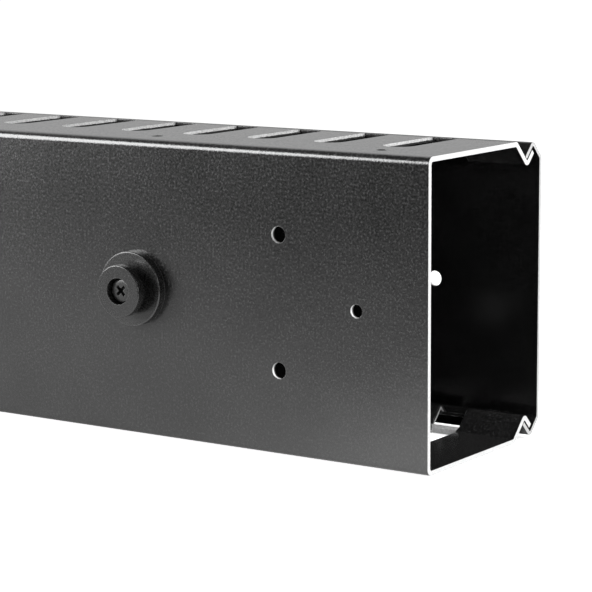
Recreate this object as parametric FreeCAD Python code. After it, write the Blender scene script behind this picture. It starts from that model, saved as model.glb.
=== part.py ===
import FreeCAD, Part
import math
import os

# Vertical cable manager: a slotted steel duct with a cover held in folded grooves.
# It lies on one slotted side wall, as it does in the photograph.
# X runs along the duct, Y from the back panel towards the cover, Z up. Millimetres.
# The origin is the centre of the bounding box at its lowest plane.

# Overall sizes of the duct
duct_length = 534.0
duct_width = 100.5
duct_depth = 72.6

# Sheet and bends of the channel
channel_sheet = 1.6
channel_bend_radius = 0.9

# Groove folded along the free edge of each side wall
snap_zone = 16.7
groove_drop = 7.2
groove_lip_length = 5.5
groove_bend_radius = 0.6
fold_angle = math.radians(45.0)

# Cover
cover_sheet = 1.3
cover_bend_radius = 0.6
cover_inset = 6.1
lip_side_clearance = 0.65
lip_tip_clearance = 0.3

# Finger slots in both side walls, and the notches in the groove above them
slot_pitch = 26.67
slot_width = 10.8
slot_length = 33.9
slot_end_margin = 21.0
slot_corner_radius = 1.2
ridge_land = 0.4
tie_bar_width = 1.0

# Holes through the back panel, the side walls and the cover
rack_hole_diameter = 5.4
rack_hole_inset = 56.1
rack_unit = 44.45
end_hole_diameter = 4.4
end_hole_inset = 26.4
pilot_hole_diameter = 3.8
pilot_hole_inset = 24.0
pilot_hole_spacing = 88.9
pilot_hole_depth = 11.2
cover_hole_diameter = 5.2
cover_hole_inset = 40.1

# Mounting buttons that hang the duct in keyholes
button_inset = 114.6
spacer_diameter = 25.2
spacer_thickness = 3.2
spacer_edge_radius = 0.4
button_head_diameter = 17.6
button_head_thickness = 3.1
button_neck_diameter = 12.6
button_neck_length = 3.3
button_edge_radius = 0.4
counterbore_diameter = 9.0
counterbore_depth = 4.4

# Screw, washers and nut of each button
screw_diameter = 4.0
screw_length = 14.0
screw_head_diameter = 8.0
screw_head_height = 2.6
screw_crown_radius = 1.3
recess_span = 4.8
recess_slot_width = 1.25
recess_depth = 1.6
screw_hole_clearance = 0.5
thread_clearance = 0.05
flat_washer_diameter = 9.0
flat_washer_thickness = 0.8
lock_washer_diameter = 7.4
lock_washer_thickness = 1.0
lock_washer_gap = 1.0
nut_across_flats = 7.0
nut_thickness = 3.2
nut_chamfer_angle = math.radians(30.0)

# Places that follow from the sizes above
button_height = spacer_thickness + button_neck_length + button_head_thickness
back_y = (button_height - duct_depth) / 2
cover_y = back_y + duct_depth
ridge_y = cover_y - snap_zone
middle_z = duct_width / 2
half_width = duct_width / 2
half_length = duct_length / 2
screw_hole_diameter = screw_diameter + screw_hole_clearance
mirrored_ends = (-1, 1)

# How far cutters reach past what they cut, and how close two sizes count as equal
overrun = 1.0
same_size = 0.01

LONG = FreeCAD.Vector(1, 0, 0)
INWARD = FreeCAD.Vector(0, 1, 0)
UP = FreeCAD.Vector(0, 0, 1)


def side_of_sheet(points, offset, radii):
    """Edges of one side of a bent sheet, along its middle line with a radius at each bend."""
    spans = []
    for start, end in zip(points, points[1:]):
        along = end - start
        along.normalize()
        spans.append(along)
    normals = [FreeCAD.Vector(0, -along.z, along.y) for along in spans]
    edges = []
    last = points[0] + normals[0] * offset
    for i in range(1, len(points) - 1):
        before, after = spans[i - 1], spans[i]
        turn = before.getAngle(after)
        radius = radii[i - 1]
        tangent = radius * math.tan(turn / 2)
        bisector = after - before
        bisector.normalize()
        centre = points[i] + bisector * (radius / math.cos(turn / 2))
        inside = 1 if normals[i].dot(bisector) > 0 else -1
        bend_start = points[i] - before * tangent + normals[i - 1] * offset
        bend_end = points[i] + after * tangent + normals[i] * offset
        bend_middle = centre - bisector * (radius - inside * offset)
        edges.append(Part.LineSegment(last, bend_start).toShape())
        edges.append(Part.Arc(bend_start, bend_middle, bend_end).toShape())
        last = bend_end
    edges.append(Part.LineSegment(last, points[-1] + normals[-1] * offset).toShape())
    return edges


def bent_sheet(points, thickness, one_side):
    """A mirrored sheet bent along X, from its points and the inside radii of one side's bends."""
    radii = [inside + thickness / 2 for inside in one_side + one_side[::-1]]
    left = side_of_sheet(points, thickness / 2, radii)
    right = side_of_sheet(points, -thickness / 2, radii)
    ends = []
    for place in (0, -1):
        a = left[place].Vertexes[place].Point
        b = right[place].Vertexes[place].Point
        ends.append(Part.LineSegment(a, b).toShape())
    outline = Part.Wire(Part.__sortEdges__(left + right + ends))
    return Part.Face(outline).extrude(LONG * duct_length)


def section_point(y, from_middle):
    """A point of the end section, measured from the duct's middle plane."""
    return FreeCAD.Vector(-half_length, y, middle_z + from_middle)


def mirrored_section(half):
    """The section of both sides, from one side's points given from its free edge."""
    upper = [section_point(y, d) for y, d in half]
    lower = [section_point(y, -d) for y, d in reversed(half)]
    return upper + lower


# Middle line of the groove: ridge, apex and free edge
groove_ridge = (ridge_y - channel_sheet / 2 * math.tan(fold_angle / 2), half_width - channel_sheet / 2)
groove_apex = (groove_ridge[0] + groove_drop / math.tan(fold_angle), groove_ridge[1] - groove_drop)
groove_edge = (
    groove_apex[0] + groove_lip_length * math.cos(fold_angle),
    groove_apex[1] + groove_lip_length * math.sin(fold_angle),
)


def channel_section():
    back_corner = (back_y + channel_sheet / 2, half_width - channel_sheet / 2)
    return mirrored_section([groove_edge, groove_apex, groove_ridge, back_corner])


def cover_section():
    """The cover's middle line, with its lips laid into the groove by named clearances."""
    rise = math.tan(fold_angle)
    across = math.cos(fold_angle)
    face_y = cover_y - cover_sheet / 2
    flat_half = half_width - cover_inset - cover_sheet / 2 * math.tan(fold_angle / 2)
    # Lines through the lip and the chamfer, as from_middle = level +/- rise * y
    stack = channel_sheet / 2 + lip_side_clearance + cover_sheet / 2
    lip_level = groove_apex[1] - rise * groove_apex[0] + stack / across
    chamfer_level = flat_half + rise * face_y
    corner_y = (chamfer_level - lip_level) / (2 * rise)
    corner = (corner_y, chamfer_level - rise * corner_y)
    tip_offset = channel_sheet / 2 + lip_tip_clearance
    wall_level = groove_apex[1] + rise * groove_apex[0] + tip_offset / across
    tip_y = (wall_level - lip_level) / (2 * rise)
    tip = (tip_y, wall_level - rise * tip_y)
    return mirrored_section([tip, corner, (face_y, flat_half)])


def cylinder(x, y, z, diameter, length):
    """A round bar along Y, starting at y."""
    return Part.makeCylinder(diameter / 2, length, FreeCAD.Vector(x, y, z), INWARD)


def slot_centres():
    """Places of the slots along X, as many as the length takes, centred."""
    room = duct_length - 2 * (slot_end_margin + slot_width / 2)
    count = int((room + same_size) / slot_pitch) + 1
    return [(i - (count - 1) / 2) * slot_pitch for i in range(count)]


def slot_cutter(x):
    """One slot through both side walls, with a full round at its near end."""
    far = ridge_y - ridge_land
    near = far - slot_length
    radius = slot_width / 2
    left, right = x - radius, x + radius
    shoulder = near + radius
    corner = slot_corner_radius
    diagonal = corner * (1 - math.cos(math.pi / 4))

    def spot(px, py):
        return FreeCAD.Vector(px, py, -overrun)

    edges = [
        Part.Arc(spot(left, shoulder), spot(x, near), spot(right, shoulder)).toShape(),
        Part.LineSegment(spot(right, shoulder), spot(right, far - corner)).toShape(),
        Part.Arc(
            spot(right, far - corner),
            spot(right - diagonal, far - diagonal),
            spot(right - corner, far),
        ).toShape(),
        Part.LineSegment(spot(right - corner, far), spot(left + corner, far)).toShape(),
        Part.Arc(
            spot(left + corner, far),
            spot(left + diagonal, far - diagonal),
            spot(left, far - corner),
        ).toShape(),
        Part.LineSegment(spot(left, far - corner), spot(left, shoulder)).toShape(),
    ]
    return Part.Face(Part.Wire(edges)).extrude(UP * (duct_width + 2 * overrun))


def groove_notch(x):
    """The notch that opens both grooves above a slot, past the tie bar."""
    start = ridge_y - ridge_land + tie_bar_width
    corner = FreeCAD.Vector(x - slot_width / 2, start, -overrun)
    return Part.makeBox(slot_width, cover_y - start, duct_width + 2 * overrun, corner)


def channel():
    bends = [groove_bend_radius, groove_bend_radius, channel_bend_radius]
    body = bent_sheet(channel_section(), channel_sheet, bends)
    cutters = []
    for x in slot_centres():
        cutters.append(slot_cutter(x))
        cutters.append(groove_notch(x))
    for end in mirrored_ends:
        rack_x = end * (half_length - rack_hole_inset)
        end_x = end * (half_length - end_hole_inset)
        button_x = end * (half_length - button_inset)
        back_holes = [
            (rack_x, middle_z - rack_unit / 2, rack_hole_diameter),
            (rack_x, middle_z + rack_unit / 2, rack_hole_diameter),
            (end_x, middle_z, end_hole_diameter),
            (button_x, middle_z, screw_hole_diameter),
        ]
        for x, z, diameter in back_holes:
            cutters.append(cylinder(x, back_y - overrun, z, diameter, channel_sheet + 2 * overrun))
        for from_end in (pilot_hole_inset, pilot_hole_inset + pilot_hole_spacing):
            pilot_x = end * (half_length - from_end)
            foot = FreeCAD.Vector(pilot_x, back_y + pilot_hole_depth, -overrun)
            drill = Part.makeCylinder(pilot_hole_diameter / 2, duct_width + 2 * overrun, foot, UP)
            cutters.append(drill)
    return body.cut(cutters)


def cover():
    body = bent_sheet(cover_section(), cover_sheet, [cover_bend_radius, cover_bend_radius])
    holes = []
    for end in mirrored_ends:
        x = end * (half_length - cover_hole_inset)
        start = cover_y - cover_sheet - overrun
        holes.append(cylinder(x, start, middle_z, cover_hole_diameter, cover_sheet + 2 * overrun))
    return body.cut(holes)


def turned(profile, x, y):
    """A turned piece about the Y axis, from (radius, height towards the viewer) points."""
    points = [FreeCAD.Vector(x + r, y - h, middle_z) for r, h in profile]
    face = Part.Face(Part.makePolygon(points + points[:1]))
    return face.revolve(FreeCAD.Vector(x, y, middle_z), INWARD, 360)


def rounded(solid, radius, levels):
    """Rounds the circle edges of a turned piece, given by their Y level and diameter."""
    chosen = []
    for edge in solid.Edges:
        box = edge.BoundBox
        for y, diameter in levels:
            misfit = max(box.YLength, abs(box.YMin - y), abs(box.XLength - diameter))
            if misfit < same_size:
                chosen.append(edge)
    return solid.makeFillet(radius, chosen)


def flange_spacer(x):
    bore = screw_hole_diameter / 2
    rim = spacer_diameter / 2
    ring = turned([(bore, 0), (rim, 0), (rim, spacer_thickness), (bore, spacer_thickness)], x, back_y)
    return rounded(ring, spacer_edge_radius, [(back_y - spacer_thickness, spacer_diameter)])


def mounting_button(x):
    seat_y = back_y - spacer_thickness
    bore = screw_hole_diameter / 2
    neck = button_neck_diameter / 2
    head = button_head_diameter / 2
    pocket = counterbore_diameter / 2
    top = button_neck_length + button_head_thickness
    floor = top - counterbore_depth
    profile = [
        (bore, 0),
        (neck, 0),
        (neck, button_neck_length),
        (head, button_neck_length),
        (head, top),
        (pocket, top),
        (pocket, floor),
        (bore, floor),
    ]
    levels = [(seat_y - top, button_head_diameter), (seat_y - button_neck_length, button_head_diameter)]
    return rounded(turned(profile, x, seat_y), button_edge_radius, levels)


# The screw head sits on the floor of the button's counterbore
screw_seat_y = back_y - button_height + counterbore_depth
washer_y = back_y + channel_sheet
lock_washer_y = washer_y + flat_washer_thickness
nut_y = lock_washer_y + lock_washer_thickness


def button_screw(x):
    """A pan head screw along Y with a cross recess turned 45 degrees."""
    shank = cylinder(x, screw_seat_y, middle_z, screw_diameter, screw_length)
    head = cylinder(x, screw_seat_y - screw_head_height, middle_z, screw_head_diameter, screw_head_height)
    top_y = screw_seat_y - screw_head_height
    head = rounded(head, screw_crown_radius, [(top_y, screw_head_diameter)])
    screw = head.fuse(shank).removeSplitter()
    for angle in (45, 135):
        corner = FreeCAD.Vector(x - recess_span / 2, top_y, middle_z - recess_slot_width / 2)
        wing = Part.makeBox(recess_span, recess_depth, recess_slot_width, corner)
        wing.rotate(FreeCAD.Vector(x, top_y, middle_z), INWARD, angle)
        screw = screw.cut(wing)
    return screw


def flat_washer(x):
    disc = cylinder(x, washer_y, middle_z, flat_washer_diameter, flat_washer_thickness)
    return disc.cut(cylinder(x, washer_y, middle_z, screw_hole_diameter, flat_washer_thickness))


def lock_washer(x):
    """A split spring washer, flat under load."""
    disc = cylinder(x, lock_washer_y, middle_z, lock_washer_diameter, lock_washer_thickness)
    bore = cylinder(x, lock_washer_y, middle_z, screw_hole_diameter, lock_washer_thickness)
    corner = FreeCAD.Vector(x - lock_washer_gap / 2, lock_washer_y, middle_z)
    split = Part.makeBox(lock_washer_gap, lock_washer_thickness, lock_washer_diameter, corner)
    return disc.cut([bore, split])


def hex_nut(x):
    """A hexagon nut with both ends chamfered to its corner circle."""
    corner_radius = nut_across_flats / math.sqrt(3)
    points = []
    for i in range(7):
        angle = i * math.pi / 3
        dx, dz = corner_radius * math.cos(angle), corner_radius * math.sin(angle)
        points.append(FreeCAD.Vector(x + dx, nut_y, middle_z + dz))
    prism = Part.Face(Part.makePolygon(points)).extrude(INWARD * nut_thickness)
    flat_radius = nut_across_flats / 2
    bevel = (corner_radius - flat_radius) * math.tan(nut_chamfer_angle)
    blank = turned(
        [
            (0, 0),
            (flat_radius, 0),
            (corner_radius, -bevel),
            (corner_radius, bevel - nut_thickness),
            (flat_radius, -nut_thickness),
            (0, -nut_thickness),
        ],
        x,
        nut_y,
    )
    bore = cylinder(x, nut_y, middle_z, screw_diameter + 2 * thread_clearance, nut_thickness)
    return prism.common(blank).cut(bore)


def button_places():
    return [end * (half_length - button_inset) for end in mirrored_ends]


def save(name, shape):
    shape.exportStep("parts/" + name + ".step")
    print(name, len(shape.Solids), "solids", round(shape.Volume, 1), "mm3", shape.isValid())


os.makedirs("parts", exist_ok=True)
save("slotted_channel", channel())
save("snap_cover", cover())
for side, place in zip(("left", "right"), button_places()):
    save(side + "_flange_spacer", flange_spacer(place))
    save(side + "_mounting_button", mounting_button(place))
save("button_screws", Part.makeCompound([button_screw(x) for x in button_places()]))
save("flat_washers", Part.makeCompound([flat_washer(x) for x in button_places()]))
save("lock_washers", Part.makeCompound([lock_washer(x) for x in button_places()]))
save("hex_nuts", Part.makeCompound([hex_nut(x) for x in button_places()]))
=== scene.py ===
import math

import bmesh
import bpy
from mathutils import Matrix, Vector


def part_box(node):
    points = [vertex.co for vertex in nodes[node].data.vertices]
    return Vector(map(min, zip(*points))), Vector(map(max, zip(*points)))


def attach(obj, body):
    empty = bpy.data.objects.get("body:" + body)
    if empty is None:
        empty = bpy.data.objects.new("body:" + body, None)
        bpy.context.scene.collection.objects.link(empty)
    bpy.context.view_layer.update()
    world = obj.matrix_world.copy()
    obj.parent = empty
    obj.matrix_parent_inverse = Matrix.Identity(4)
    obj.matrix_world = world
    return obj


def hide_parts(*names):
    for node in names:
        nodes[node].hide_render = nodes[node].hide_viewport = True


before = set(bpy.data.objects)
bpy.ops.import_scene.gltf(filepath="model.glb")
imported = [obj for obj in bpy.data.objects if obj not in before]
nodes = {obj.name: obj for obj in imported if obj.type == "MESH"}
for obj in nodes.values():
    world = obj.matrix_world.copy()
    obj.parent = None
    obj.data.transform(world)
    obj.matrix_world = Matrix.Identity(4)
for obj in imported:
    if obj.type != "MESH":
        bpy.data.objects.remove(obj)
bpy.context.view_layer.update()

# Camera, worked out from the straight edges of the photographed duct
CAMERA_PLACE = Vector((0.6399, -0.6544, 0.1769))
CAMERA_YAW = math.radians(34.132)
CAMERA_PITCH = math.radians(9.338)
CAMERA_ROLL = math.radians(-0.293)
CAMERA_LENS = 144.66
SENSOR = 36.0

# Outer faces of the duct, from the frame, in metres
channel_low, channel_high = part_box("slotted_channel")
HALF_LENGTH = channel_high.x
WIDTH = channel_high.z
BACK_Y = channel_low.y
FRONT_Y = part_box("snap_cover")[1].y

# Sheets and the groove folded along each side wall, as in the part
CHANNEL_SHEET = 0.0016
COVER_SHEET = 0.0013
FOLD_ANGLE = math.radians(45.0)
SNAP_ZONE = 0.0167
GROOVE_DROP = 0.0072
RIDGE_LAND = 0.0004
RIDGE_Y = FRONT_Y - SNAP_ZONE
APEX_Y = RIDGE_Y - CHANNEL_SHEET / 2 * math.tan(FOLD_ANGLE / 2) + GROOVE_DROP
SLOT_END_Y = RIDGE_Y - RIDGE_LAND

# Zones that tell the cut faces of the sheets from the coated ones
BACK_ZONE = CHANNEL_SHEET + 0.00005
COVER_ZONE = COVER_SHEET + 0.0001
BEND_ZONE = 0.01
PILOT_ZONE_Y = -0.012
NOTCH_MIDDLE_Y = RIDGE_Y + 0.0035
BRIDGE_START_Y = SLOT_END_Y - 0.0002
BRIDGE_END_Y = SLOT_END_Y + 0.0011
BRIDGE_LONGEST = 0.012

# Powder coat: index of refraction, scale and height of its grain, and reach of the edges that are rubbed
# and carry a painted highlight
COAT_IOR = 1.75
SHEET_GRAIN = 1300.0
SHEET_GRAIN_HEIGHT = 0.000034
FINE_GRAIN = 2600.0
BUTTON_GRAIN_HEIGHT = 0.000004
SCREW_GRAIN_HEIGHT = 0.00001
EDGE_RADIUS = 0.00035

# Depth to which a punch shears the sheet before it breaks and painted shade begins, how ragged that line
# is, and the grey of the broken and shaded part
SHEARED_DEPTH = 0.00095
SHEARED_RAGGED = 0.0001
SHEARED_BLUR = 0.00006
BROKEN_AND_SHADED_GREY = 34

# Screws: place and reach from the frame, outline of the head as radius and depth from the crown
spacer_low, spacer_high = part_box("right_flange_spacer")
screws_low, screws_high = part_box("button_screws")
SCREW_X = (spacer_low.x + spacer_high.x) / 2
SCREW_CROWN_Y = screws_low.y
SCREW_TIP = screws_high.y - screws_low.y
SCREW_HEAD = [
    (0.0034, 0.00002), (0.0037, 0.0001), (0.00388, 0.00025), (0.00397, 0.00045), (0.004, 0.0007),
    (0.004, 0.00245), (0.0039, 0.0026), (0.002, 0.0026),
]
THREAD_RADIUS = 0.002
THREAD_PITCH = 0.0007
THREAD_DEPTH = 0.0003
TIP_RADIUS = 0.0014
AROUND = 48
RINGS_PER_TURN = 6

# Cross recess: reach of an arm, half its width and depth, at the mouth and at the end
RECESS_MOUTH = (0.0024, 0.00062, -0.0004)
RECESS_END = (0.0011, 0.00034, 0.0019)
RECESS_ROOT = 1.35
RECESS_TURN = math.radians(45.0)
RECESS_REACH = 0.0025
RECESS_ZONE = (0.00004, 0.0021)
SMOOTH_ANGLE = math.radians(28.0)

# Floor: level, reach and strengths for the camera, for gloss and for fill
FLOOR_LEVEL = -0.0002
FLOOR_REACH = 30.0
FLOOR_WHITE = 0.84
FLOOR_SEEN = 0.8
FLOOR_FILL = 0.1

# The floor as gloss sees it: a pool of light that brightens along a direction, a spot of light by the
# duct's near end, and a painted shadow under the object
POOL_CENTRE = (0.18, -0.12, 0.0)
POOL_TOWARDS = (-0.4, 0.917, 0.0)
POOL_PEAK = 0.86
SPOT_SQUEEZE = 1.5
SPOT_CENTRE = (SPOT_SQUEEZE * 0.27, -0.085, 0.0)
SPOT_REACH = 0.21
SPOT_PEAK = 1.15
FOOTPRINT_INSIDE = 0.005
FOOTPRINT_OUTSIDE = 0.002

# Strengths of the world for gloss and for fill
WORLD_GLOSS = 0.62
WORLD_FILL = 0.05

# Soft boxes: place, aim, direction of the long side, width, length, power and whether gloss mirrors them
LAMPS = {
    "right_box": ((1.05, 0.34, 0.75), (0.25, 0.0, 0.04), (0.0, 1.0, 0.0), 0.4, 0.36, 17.0, False),
    "left_box": ((-0.95, -0.85, 0.16), (0.1, -0.03, 0.05), (1.0, -1.0, 0.0), 0.28, 0.5, 1.2, True),
    "rim_box": ((1.5, -0.45, 0.45), (0.15, -0.03, 0.05), (0.0, 0.0, 1.0), 0.12, 0.8, 4.0, True),
    "bend_box": ((-0.76, -1.12, 0.61), (0.1, -1.12, 0.61), (0.0, -0.97, 0.26), 0.8, 1.3, 34.0, True),
}


# Shader nodes

def grey(value):
    """Linear colour of one sRGB grey, given from 0 to 255."""
    v = value / 255
    v = v / 12.92 if v <= 0.04045 else ((v + 0.055) / 1.055) ** 2.4
    return (v, v, v, 1.0)


def new_material(name):
    material = bpy.data.materials.new(name)
    material.use_nodes = True
    tree = material.node_tree
    return material, tree, tree.nodes["Principled BSDF"]


def add(tree, kind, **values):
    """A node of a kind, with its own properties and its inputs set by name."""
    node = tree.nodes.new(kind)
    for key, value in values.items():
        if hasattr(node, key):
            setattr(node, key, value)
        else:
            node.inputs[key.replace("_", " ")].default_value = value
    return node


def object_place(tree):
    return add(tree, "ShaderNodeTexCoord").outputs["Object"]


def noise(tree, place, scale, detail=3.0, roughness=0.55):
    node = add(tree, "ShaderNodeTexNoise", Scale=scale, Detail=detail, Roughness=roughness)
    tree.links.new(place, node.inputs["Vector"])
    return node.outputs["Fac"]


def ramp(tree, source, low, high, out_low=0.0, out_high=1.0):
    """Maps low..high to out_low..out_high, and holds the ends."""
    node = add(tree, "ShaderNodeMapRange")
    ends = {"From Min": low, "From Max": high, "To Min": out_low, "To Max": out_high}
    for key, value in ends.items():
        node.inputs[key].default_value = value
    tree.links.new(source, node.inputs["Value"])
    return node.outputs["Result"]


def math_node(tree, operation, *values):
    """A Math node over sockets and constants, and its output."""
    node = add(tree, "ShaderNodeMath", operation=operation)
    for socket, value in zip(node.inputs, values):
        if isinstance(value, (int, float)):
            socket.default_value = value
        else:
            tree.links.new(value, socket)
    return node.outputs[0]


def minus(tree, first, second):
    return math_node(tree, "SUBTRACT", first, second)


def vector_math(tree, operation, place, constant, output="Value"):
    """A Vector Math node over a place and a constant vector, and its output."""
    node = add(tree, "ShaderNodeVectorMath", operation=operation)
    tree.links.new(place, node.inputs[0])
    node.inputs[1].default_value = constant
    return node.outputs[output]


def axes_of(tree, place):
    node = add(tree, "ShaderNodeSeparateXYZ")
    tree.links.new(place, node.inputs[0])
    return node.outputs["X"], node.outputs["Y"], node.outputs["Z"]


def mix_colour(tree, factor, first, second):
    """Mixes two colours, each a constant or a socket, by a factor socket."""
    node = add(tree, "ShaderNodeMix", data_type="RGBA")
    tree.links.new(factor, node.inputs["Factor"])
    for socket, value in ((node.inputs[6], first), (node.inputs[7], second)):
        if isinstance(value, tuple):
            socket.default_value = value
        else:
            tree.links.new(value, socket)
    return node.outputs[2]


def bump_from(tree, shader, height, distance, strength=1.0):
    """Turns a height into the shader's normal, and gives the Bump node."""
    bump = add(tree, "ShaderNodeBump", Strength=strength, Distance=distance)
    tree.links.new(height, bump.inputs["Height"])
    tree.links.new(bump.outputs["Normal"], shader.inputs["Normal"])
    return bump


def edge_mask(tree, radius):
    """1 along sharp edges and 0 on open surface."""
    bevel = add(tree, "ShaderNodeBevel", samples=4, Radius=radius)
    geometry = add(tree, "ShaderNodeNewGeometry")
    dot = add(tree, "ShaderNodeVectorMath", operation="DOT_PRODUCT")
    tree.links.new(bevel.outputs["Normal"], dot.inputs[0])
    tree.links.new(geometry.outputs["Normal"], dot.inputs[1])
    return ramp(tree, dot.outputs["Value"], 0.995, 0.86)


# Finishes

def coated(name, dark, light, rough, grain=SHEET_GRAIN, grain_height=SHEET_GRAIN_HEIGHT, wear_and_highlight=150,
           rub_and_highlight=(0.1, 0.9), grain_shade_and_light=(0.55, 0.45)):
    """Powder coat between two greys, with fine grain, faint clouding and edges lightened to a grey that is
    rubbed wear with a painted highlight.

    The pair for the edges says how far they are lightened, from least to most. The pair for the grain says
    how far its pits are painted darker, as painted shade, and its peaks lighter, as painted light, than
    the coat.
    """
    material, tree, shader = new_material(name)
    place = object_place(tree)
    clouds = noise(tree, place, scale=35.0)
    fine = noise(tree, place, scale=grain, detail=2.0, roughness=0.6)
    peel = noise(tree, place, scale=grain / 5, detail=2.0, roughness=0.5)
    body = mix_colour(tree, ramp(tree, clouds, 0.35, 0.65), grey(dark), grey(light))
    # The grain's pits are painted darker and its peaks lighter: painted shade and painted light on the
    # grain.
    body = mix_colour(tree, ramp(tree, fine, 0.38, 0.5, grain_shade_and_light[0], 0.0), body, grey(dark / 3))
    body = mix_colour(tree, ramp(tree, fine, 0.5, 0.66, 0.0, grain_shade_and_light[1]), body, grey(light + 30))
    # Edges lightened to the edge grey: rubbed wear and a painted highlight along them.
    patches = ramp(tree, noise(tree, place, scale=420.0), 0.42, 0.66, *rub_and_highlight)
    rubbed_and_highlit = math_node(tree, "MULTIPLY", edge_mask(tree, EDGE_RADIUS), patches)
    body = mix_colour(tree, rubbed_and_highlit, body, grey(wear_and_highlight))
    tree.links.new(body, shader.inputs["Base Color"])
    shader.inputs["IOR"].default_value = COAT_IOR
    tree.links.new(ramp(tree, fine, 0.3, 0.7, rough - 0.04, rough + 0.06), shader.inputs["Roughness"])
    height = math_node(tree, "MULTIPLY_ADD", peel, 1.6, fine)
    bump = bump_from(tree, shader, height, distance=grain_height)
    bevel = add(tree, "ShaderNodeBevel", samples=4, Radius=EDGE_RADIUS / 2)
    tree.links.new(bevel.outputs["Normal"], bump.inputs["Normal"])
    return material


def depth_from_outside(tree, place):
    """How deep a point of the folded channel lies under its outer surface, along Z or Y."""
    y, z = axes_of(tree, place)[1:]
    from_middle = math_node(tree, "ABSOLUTE", minus(tree, z, WIDTH / 2))
    from_wall = minus(tree, WIDTH / 2, from_middle)
    from_apex = math_node(tree, "ABSOLUTE", minus(tree, y, APEX_Y))
    groove = math_node(tree, "MAXIMUM", minus(tree, APEX_Y - RIDGE_Y, from_apex), 0.0)
    from_side = minus(tree, from_wall, groove)
    return math_node(tree, "MINIMUM", from_side, minus(tree, y, BACK_Y))


def broken_and_shaded_part(tree, place):
    """0 where the punch sheared a hole's wall and 1 deeper in, where the sheet broke and painted shade
    lies, past a ragged line.
    """
    ragged = noise(tree, place, scale=900.0, detail=2.0, roughness=0.6)
    limit = ramp(tree, ragged, 0.3, 0.7, SHEARED_DEPTH - SHEARED_RAGGED, SHEARED_DEPTH + SHEARED_RAGGED)
    past = minus(tree, depth_from_outside(tree, place), limit)
    return ramp(tree, past, -SHEARED_BLUR, SHEARED_BLUR)


def cut_finish(name, dark, light, rough=0.4, punched=False):
    """Bare steel of a cut between two greys. A punched hole's wall is darker deeper in: the broken face of
    the sheet and painted shade inside the hole.
    """
    material, tree, shader = new_material(name)
    place = object_place(tree)
    fine = noise(tree, place, scale=1400.0, roughness=0.6)
    body = mix_colour(tree, ramp(tree, fine, 0.3, 0.7), grey(dark), grey(light))
    if punched:
        # Darker deeper in the wall: the broken face of the sheet and painted shade inside the hole.
        body = mix_colour(tree, broken_and_shaded_part(tree, place), body, grey(BROKEN_AND_SHADED_GREY))
    tree.links.new(body, shader.inputs["Base Color"])
    tree.links.new(ramp(tree, fine, 0.3, 0.7, rough - 0.07, rough + 0.09), shader.inputs["Roughness"])
    bump_from(tree, shader, fine, distance=0.00002, strength=0.6)
    return material


def zinc(name, dark, light):
    """Zinc plate: bright metal with soft clouding."""
    material, tree, shader = new_material(name)
    place = object_place(tree)
    clouds = noise(tree, place, scale=600.0, roughness=0.6)
    body = mix_colour(tree, ramp(tree, clouds, 0.3, 0.7), grey(dark), grey(light))
    tree.links.new(body, shader.inputs["Base Color"])
    shader.inputs["Metallic"].default_value = 1.0
    tree.links.new(ramp(tree, clouds, 0.3, 0.7, 0.24, 0.42), shader.inputs["Roughness"])
    bump_from(tree, shader, noise(tree, place, scale=2500.0), distance=0.00002, strength=0.5)
    return material


# Finish of each face of the two bent sheets, by material slot

COAT, END_CUT, PUNCHED, SLOT_END, SLOT_WALL = range(5)


def is_bridge(face, mesh):
    """True for the inner face of the narrow bridge between a slot and its notch."""
    corners = [mesh.vertices[i].co for i in face.vertices]
    length = max(c.x for c in corners) - min(c.x for c in corners)
    across = all(BRIDGE_START_Y < c.y < BRIDGE_END_Y for c in corners)
    inward = face.normal.z * (WIDTH / 2 - face.center.z) > 0
    folded = 0.6 < abs(face.normal.z) < 0.8
    return across and inward and folded and length < BRIDGE_LONGEST


def cut_kind(face, mesh):
    """Which finish a face has: ends, holes, slots and notches are bare, pilot holes are coated, and slot
    ends are a painted lit and shaded pair, bright on the lower wall as lit from the floor below and coated
    dark on the upper wall.
    """
    x, y, z = face.center
    nx, ny, nz = (abs(part) for part in face.normal)
    if is_bridge(face, mesh):
        return SLOT_END
    if abs(x) > HALF_LENGTH - 1e-5:
        return END_CUT
    if y < BACK_Y + BACK_ZONE or y > FRONT_Y - COVER_ZONE:
        through = ny < 0.2 and BEND_ZONE < z < WIDTH - BEND_ZONE
        return PUNCHED if through else COAT
    # Slot ends: the lower wall's are painted bright as lit from the floor below, and the upper wall's keep
    # the dark coat as painted shade.
    if ny > 0.9 and abs(y - SLOT_END_Y) < 1e-4:
        return SLOT_END if z < WIDTH / 2 else COAT
    through = nx > 0.2 or (nz < 0.2 and y < NOTCH_MIDDLE_Y)
    return SLOT_WALL if through and y > PILOT_ZONE_Y else COAT


def dress(node, *materials):
    slots = nodes[node].data.materials
    slots.clear()
    for material in materials:
        slots.append(material)


def dress_sheet(node, *materials):
    """Gives a bent sheet its coat and its cut finishes, face by face."""
    dress(node, *materials)
    mesh = nodes[node].data
    for face in mesh.polygons:
        face.material_index = cut_kind(face, mesh)


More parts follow.
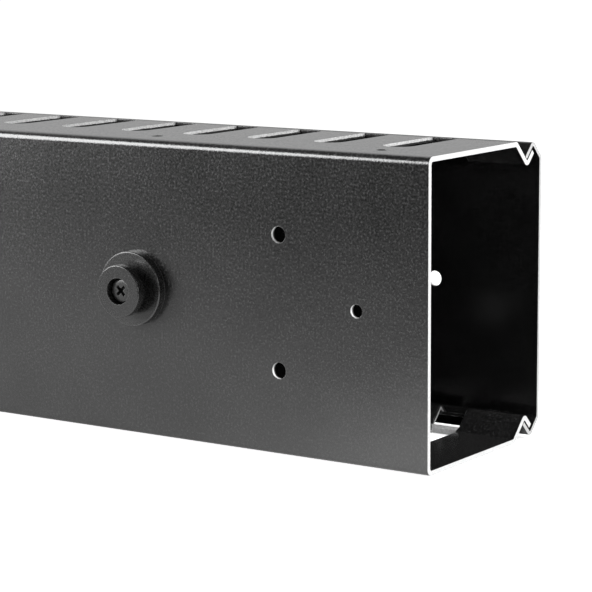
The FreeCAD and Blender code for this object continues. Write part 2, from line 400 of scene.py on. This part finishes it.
def dress_nodes():
    """Gives each node of the part its finish. The screws are dressed where they are made."""
    end_cut = cut_finish("sheared_end", 190, 216)
    cover_cut = cut_finish("cover_cut", 160, 190)
    slot_end = cut_finish("slot_end", 190, 236, rough=0.35)
    hole_wall = cut_finish("hole_wall", 215, 242, punched=True)
    slot_wall = cut_finish("slot_wall", 150, 206, punched=True)
    channel_coat = coated("channel_coat", 24, 36, 0.2)
    cover_coat = coated("cover_coat", 16, 25, 0.2, grain_shade_and_light=(0.4, 0.2))
    dress_sheet("slotted_channel", channel_coat, end_cut, hole_wall, slot_end, slot_wall)
    dress_sheet("snap_cover", cover_coat, *[cover_cut] * 4)
    # The flange's edges are lightened further: rubbed wear and a painted highlight along its rim.
    spacer = coated("spacer_coat", 22, 32, 0.26, FINE_GRAIN, BUTTON_GRAIN_HEIGHT, wear_and_highlight=190, rub_and_highlight=(0.5, 1.0))
    button = coated("button_coat", 24, 34, 0.24, FINE_GRAIN, BUTTON_GRAIN_HEIGHT)
    for side in ("left", "right"):
        dress(side + "_flange_spacer", spacer)
        dress(side + "_mounting_button", button)
    dress("flat_washers", zinc("washer_zinc", 160, 200))
    dress("lock_washers", zinc("lock_zinc", 140, 185))
    dress("hex_nuts", zinc("nut_zinc", 150, 195))


# Button screws

def thread_radius(depth, turn):
    """Radius of the threaded shank at a depth and a part of a turn."""
    phase = (depth / THREAD_PITCH - turn) % 1.0
    ridge = 1.0 - abs(2.0 * phase - 1.0)
    return THREAD_RADIUS - THREAD_DEPTH * (1.0 - ridge)


def join_rings(mesh, rings):
    """Closes a form over rings of vertices, with a face at either end."""
    for first, second in zip(rings, rings[1:]):
        for i in range(len(first)):
            j = (i + 1) % len(first)
            mesh.faces.new((first[i], first[j], second[j], second[i]))
    mesh.faces.new(list(reversed(rings[0])))
    mesh.faces.new(rings[-1])


def add_screw(mesh, x):
    """One pan head screw along Y, from its crown to its tip."""
    start = SCREW_HEAD[-1][1] + THREAD_PITCH / 2
    end = SCREW_TIP - THREAD_PITCH
    step = THREAD_PITCH / RINGS_PER_TURN
    outline = [[(radius, depth)] * AROUND for radius, depth in SCREW_HEAD]
    for k in range(round((end - start) / step) + 1):
        depth = start + k * step
        outline.append([(thread_radius(depth, i / AROUND), depth) for i in range(AROUND)])
    outline.append([(TIP_RADIUS, SCREW_TIP)] * AROUND)
    turns = [2 * math.pi * i / AROUND for i in range(AROUND)]
    rings = []
    for ring in outline:
        rings.append([
            mesh.verts.new((x + r * math.cos(t), SCREW_CROWN_Y + d, WIDTH / 2 + r * math.sin(t)))
            for (r, d), t in zip(ring, turns)
        ])
    join_rings(mesh, rings)


def add_recess(mesh, x):
    """The tapered cross that cuts a screw's recess."""
    rings = []
    for reach, half, depth in (RECESS_MOUTH, RECESS_END):
        root = half * RECESS_ROOT
        quarter = [(reach, -half), (reach, half), (root, half), (half, root)]
        ring = []
        for k in range(4):
            turn = RECESS_TURN + math.radians(90.0) * k
            for a, b in quarter:
                u = a * math.cos(turn) - b * math.sin(turn)
                v = a * math.sin(turn) + b * math.cos(turn)
                ring.append(mesh.verts.new((x + u, SCREW_CROWN_Y + depth, WIDTH / 2 + v)))
        rings.append(ring)
    join_rings(mesh, rings)


def at_both_buttons(name, builder):
    """An object with one closed form at each of the two buttons."""
    mesh = bmesh.new()
    for x in (-SCREW_X, SCREW_X):
        builder(mesh, x)
    bmesh.ops.recalc_face_normals(mesh, faces=mesh.faces)
    data = bpy.data.meshes.new(name)
    mesh.to_mesh(data)
    mesh.free()
    piece = bpy.data.objects.new(name, data)
    bpy.context.scene.collection.objects.link(piece)
    return piece


def in_recess(face):
    """True for a face of a screw's cross recess."""
    x, y, z = face.center
    from_axis = math.hypot(abs(x) - SCREW_X, z - WIDTH / 2)
    top, bottom = RECESS_ZONE
    return from_axis < RECESS_REACH and top < y - SCREW_CROWN_Y < bottom


def make_screws():
    """The two button screws with a tapered recess and a rolled thread."""
    screws = at_both_buttons("cross_screws", add_screw)
    cutter = at_both_buttons("recess_cutter", add_recess)
    cut = screws.modifiers.new("recess", "BOOLEAN")
    cut.operation = "DIFFERENCE"
    cut.solver = "EXACT"
    cut.object = cutter
    view = bpy.context.evaluated_depsgraph_get()
    data = bpy.data.meshes.new_from_object(screws.evaluated_get(view))
    screws.modifiers.clear()
    screws.data = data
    bpy.data.objects.remove(cutter)
    # Its edges are lightened: rubbed wear and a painted highlight.
    black = coated("screw_black", 22, 34, 0.28, FINE_GRAIN, SCREW_GRAIN_HEIGHT, wear_and_highlight=120, rub_and_highlight=(0.2, 1.0))
    data.materials.clear()
    data.materials.append(black)
    # The cross recess is near black: painted shade in the recess.
    data.materials.append(coated("recess_painted_shade", 6, 12, 0.5, FINE_GRAIN, SCREW_GRAIN_HEIGHT, wear_and_highlight=20))
    for face in data.polygons:
        face.material_index = 1 if in_recess(face) else 0
        face.use_smooth = True
    data.set_sharp_from_angle(angle=SMOOTH_ANGLE)
    dress("button_screws", black)
    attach(screws, "duct")
    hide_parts("button_screws")


# Floor, world, lights and camera

def mirrored_ray(tree, path):
    """1 for a ray that gloss or glass sends on."""
    return math_node(tree, "MAXIMUM", path.outputs["Is Glossy Ray"], path.outputs["Is Transmission Ray"])


def clear_of(tree, value, middle, reach):
    """0 within the object's footprint along one axis, rising to 1 just outside it."""
    away = math_node(tree, "ABSOLUTE", minus(tree, value, middle))
    return ramp(tree, away, reach - FOOTPRINT_INSIDE, reach + FOOTPRINT_OUTSIDE)


def floor_pool(tree, place, away):
    """Strength of the floor for gloss: the pool and the spot of light, with a painted shadow under the
    object.
    """
    along = vector_math(tree, "DOT_PRODUCT", place, POOL_TOWARDS)
    slope = ramp(tree, along, -0.455, -0.18, 0.0, POOL_PEAK)
    pool = math_node(tree, "MULTIPLY", slope, ramp(tree, away, 0.8, 2.0, 1.0, 0.3))
    squeezed = vector_math(tree, "MULTIPLY", place, (SPOT_SQUEEZE, 1.0, 1.0), "Vector")
    spot = ramp(tree, vector_math(tree, "DISTANCE", squeezed, SPOT_CENTRE), 0.0, SPOT_REACH, 1.0, 0.0)
    pool = math_node(tree, "MULTIPLY_ADD", math_node(tree, "POWER", spot, 2.0), SPOT_PEAK, pool)
    # Painted shadow: the gloss pool goes dark over the object's footprint.
    x, y = axes_of(tree, place)[:2]
    beside = clear_of(tree, x, 0.0, HALF_LENGTH)
    ahead = clear_of(tree, y, (BACK_Y + FRONT_Y) / 2, (FRONT_Y - BACK_Y) / 2)
    return math_node(tree, "MULTIPLY", pool, math_node(tree, "MAXIMUM", beside, ahead))


def floor_paper():
    """White paper that keeps shadows, and that gloss sees as a pool of light."""
    material, tree, shader = new_material("floor_paper")
    tree.nodes.remove(shader)
    place = object_place(tree)
    path = add(tree, "ShaderNodeLightPath")
    away = vector_math(tree, "DISTANCE", place, POOL_CENTRE)
    far = ramp(tree, away, 0.6, 2.5, FLOOR_SEEN, 1.0)
    seen = math_node(tree, "MULTIPLY", path.outputs["Is Camera Ray"], far)
    fill = math_node(tree, "MULTIPLY", path.outputs["Is Diffuse Ray"], FLOOR_FILL)
    diffuse = add(tree, "ShaderNodeBsdfDiffuse", Color=(FLOOR_WHITE, FLOOR_WHITE, FLOOR_WHITE, 1.0))
    glow = add(tree, "ShaderNodeEmission", Color=(1.0, 1.0, 1.0, 1.0))
    tree.links.new(math_node(tree, "ADD", seen, fill), glow.inputs["Strength"])
    paper = add(tree, "ShaderNodeAddShader")
    tree.links.new(diffuse.outputs[0], paper.inputs[0])
    tree.links.new(glow.outputs[0], paper.inputs[1])
    mirrored = add(tree, "ShaderNodeEmission", Color=(1.0, 1.0, 1.0, 1.0))
    tree.links.new(floor_pool(tree, place, away), mirrored.inputs["Strength"])
    total = add(tree, "ShaderNodeMixShader")
    tree.links.new(mirrored_ray(tree, path), total.inputs["Fac"])
    tree.links.new(paper.outputs[0], total.inputs[1])
    tree.links.new(mirrored.outputs[0], total.inputs[2])
    tree.links.new(total.outputs[0], tree.nodes["Material Output"].inputs["Surface"])
    return material


def make_floor():
    sides = ((-1, -1), (1, -1), (1, 1), (-1, 1))
    corners = [(FLOOR_REACH * x, FLOOR_REACH * y, FLOOR_LEVEL) for x, y in sides]
    mesh = bpy.data.meshes.new("floor")
    mesh.from_pydata(corners, [], [(0, 1, 2, 3)])
    mesh.materials.append(floor_paper())
    floor = bpy.data.objects.new("floor", mesh)
    bpy.context.scene.collection.objects.link(floor)


def make_world():
    """White for the camera, a bright backdrop low behind the object for gloss, dim elsewhere."""
    world = bpy.data.worlds.new("world")
    bpy.context.scene.world = world
    world.use_nodes = True
    tree = world.node_tree
    background = tree.nodes["Background"]
    path = add(tree, "ShaderNodeLightPath")
    y, z = axes_of(tree, add(tree, "ShaderNodeTexCoord").outputs["Generated"])[1:]
    behind = ramp(tree, y, -0.25, 0.35, 0.16, 1.0)
    low = ramp(tree, z, 0.68, 0.84, 1.0, 0.1)
    brighter = ramp(tree, z, 0.25, 0.6, 1.0, 2.0)
    backdrop = math_node(tree, "MULTIPLY", behind, math_node(tree, "MULTIPLY", low, brighter))
    backdrop = math_node(tree, "MULTIPLY", backdrop, WORLD_GLOSS)
    gloss = math_node(tree, "MULTIPLY", mirrored_ray(tree, path), backdrop)
    fill = math_node(tree, "MULTIPLY", path.outputs["Is Diffuse Ray"], WORLD_FILL)
    seen = math_node(tree, "MAXIMUM", path.outputs["Is Camera Ray"], gloss)
    background.inputs["Color"].default_value = (1.0, 1.0, 1.0, 1.0)
    tree.links.new(math_node(tree, "MAXIMUM", seen, fill), background.inputs["Strength"])


def softbox(name, place, target, along, width, length, power, mirrored):
    """A soft box at a place, aimed at a target, with its long side along a direction."""
    data = bpy.data.lights.new(name, "AREA")
    data.shape = "RECTANGLE"
    data.size = length
    data.size_y = width
    data.energy = power
    lamp = bpy.data.objects.new(name, data)
    bpy.context.scene.collection.objects.link(lamp)
    back = (Vector(place) - Vector(target)).normalized()
    side = Vector(along) - back * back.dot(Vector(along))
    side.normalize()
    turn = Matrix((side, back.cross(side), back)).transposed().to_4x4()
    lamp.matrix_world = Matrix.Translation(place) @ turn
    lamp.visible_camera = False
    lamp.visible_glossy = mirrored


def make_camera():
    forward = Vector((
        -math.sin(CAMERA_YAW) * math.cos(CAMERA_PITCH),
        math.cos(CAMERA_YAW) * math.cos(CAMERA_PITCH),
        -math.sin(CAMERA_PITCH),
    ))
    right = Vector((math.cos(CAMERA_YAW), math.sin(CAMERA_YAW), 0.0))
    up = right.cross(forward)
    side = math.cos(CAMERA_ROLL) * right + math.sin(CAMERA_ROLL) * up
    top = -math.sin(CAMERA_ROLL) * right + math.cos(CAMERA_ROLL) * up
    data = bpy.data.cameras.new("camera")
    data.lens = CAMERA_LENS
    data.sensor_width = SENSOR
    camera = bpy.data.objects.new("camera", data)
    bpy.context.scene.collection.objects.link(camera)
    turn = Matrix((side, top, -forward)).transposed().to_4x4()
    camera.matrix_world = Matrix.Translation(CAMERA_PLACE) @ turn
    bpy.context.scene.camera = camera


dress_nodes()
make_screws()
make_floor()
make_world()
for name, lamp in LAMPS.items():
    softbox(name, *lamp)
make_camera()
bpy.context.scene.view_settings.view_transform = "Standard"
